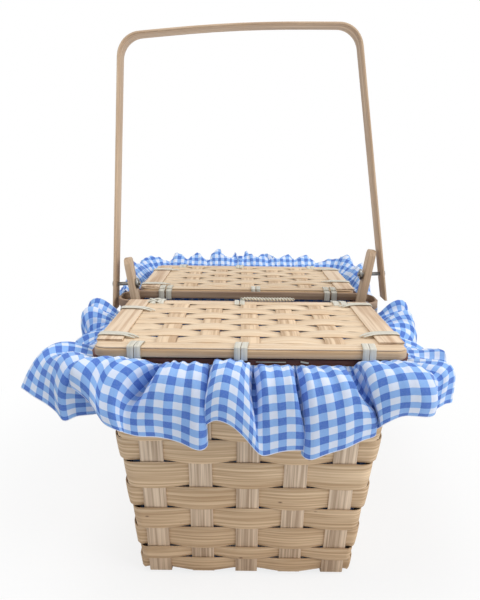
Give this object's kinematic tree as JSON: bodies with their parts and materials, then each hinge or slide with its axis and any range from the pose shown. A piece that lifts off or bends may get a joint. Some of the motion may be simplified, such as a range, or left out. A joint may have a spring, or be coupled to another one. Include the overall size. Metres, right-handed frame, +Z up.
{
  "type": "handled picnic basket",
  "caption": "Rectangular woven splint basket with two hinged lids, a swinging bail handle and a gathered cloth lining with a frill.",
  "frame": {"origin": "middle of the flat underside, on the surface that the basket stands on", "axes": "+Z up; X runs across the basket, along the hinge lines of the lids and the handle's pivot; Y runs along the basket, with the front lid on the -Y side"},
  "size_m": [0.3481, 0.44, 0.5152],
  "materials": {
    "stake_splint": "bare flat splint with grain running up the basket",
    "weaver_splint": "bare flat splint with grain running round the basket",
    "rim_band": "bare bent band in shadow under the frill",
    "bent_wood": "smooth bent strip, lightly sanded",
    "lid_frame": "smooth sanded strip",
    "lid_splint": "pale bare woven splint",
    "cane": "flat binding cane with a slight sheen",
    "gingham": "cotton gingham, quarter inch checks in blue and white",
    "bolt_metal": "dull plated"
  },
  "bodies": {
    "basket": {"long_stake_1": "stake_splint", "long_stake_2": "stake_splint", "long_stake_3": "stake_splint", "long_stake_4": "stake_splint", "long_stake_5": "stake_splint", "cross_stake_1": "stake_splint", "cross_stake_2": "stake_splint", "cross_stake_3": "stake_splint", "cross_stake_4": "stake_splint", "cross_stake_5": "stake_splint", "cross_stake_6": "stake_splint", "cross_stake_7": "stake_splint", "weaver_row_1": "weaver_splint", "weaver_row_2": "weaver_splint", "weaver_row_3": "weaver_splint", "weaver_row_4": "weaver_splint", "weaver_row_5": "weaver_splint", "weaver_row_6": "weaver_splint", "weaver_row_7": "weaver_splint", "weaver_row_8": "weaver_splint", "weaver_row_9": "weaver_splint", "weaver_row_10": "weaver_splint", "outer_rim": "rim_band", "inner_rim": "rim_band", "centre_hoop": "bent_wood", "hoop_lash_front_left": "cane", "hoop_lash_front_right": "cane", "hoop_lash_back_left": "cane", "hoop_lash_back_right": "cane", "left_strut": "bent_wood", "left_bolt": "bolt_metal", "left_nut": "bolt_metal", "right_strut": "bent_wood", "right_bolt": "bolt_metal", "right_nut": "bolt_metal", "lining": "gingham", "front_frill": "gingham", "back_frill": "gingham"},
    "handle": {"handle": "bent_wood"},
    "front_lid": {"front_lid_frame": "lid_frame", "front_lid_woven_panel": "lid_splint", "front_lid_left_board": "lid_frame", "front_lid_right_board": "lid_frame", "front_lid_lash_left": "cane", "front_lid_lash_right": "cane", "front_lid_rail_tie_1": "cane", "front_lid_rail_tie_2": "cane", "front_lid_rail_tie_3": "cane"},
    "back_lid": {"back_lid_frame": "lid_frame", "back_lid_woven_panel": "lid_splint", "back_lid_left_board": "lid_frame", "back_lid_right_board": "lid_frame", "back_lid_lash_left": "cane", "back_lid_lash_right": "cane", "back_lid_rail_tie_1": "cane", "back_lid_rail_tie_2": "cane", "back_lid_rail_tie_3": "cane"}
  },
  "joints": [
    {"name": "handle_swing", "type": "hinge", "parent": "basket", "child": "handle", "pos_m": [0, 0, 0.2565], "axis": [0.9986, 0, 0.0523], "range_deg": [-85, 85]},
    {"name": "front_lid_hinge", "type": "hinge", "parent": "basket", "child": "front_lid", "pos_m": [0, -0.02595, 0.23845], "axis": [-1, 0, 0], "range_deg": [0, 93]},
    {"name": "back_lid_hinge", "type": "hinge", "parent": "basket", "child": "back_lid", "pos_m": [0, 0.02595, 0.23845], "axis": [1, 0, 0], "range_deg": [0, 93]}
  ]
}
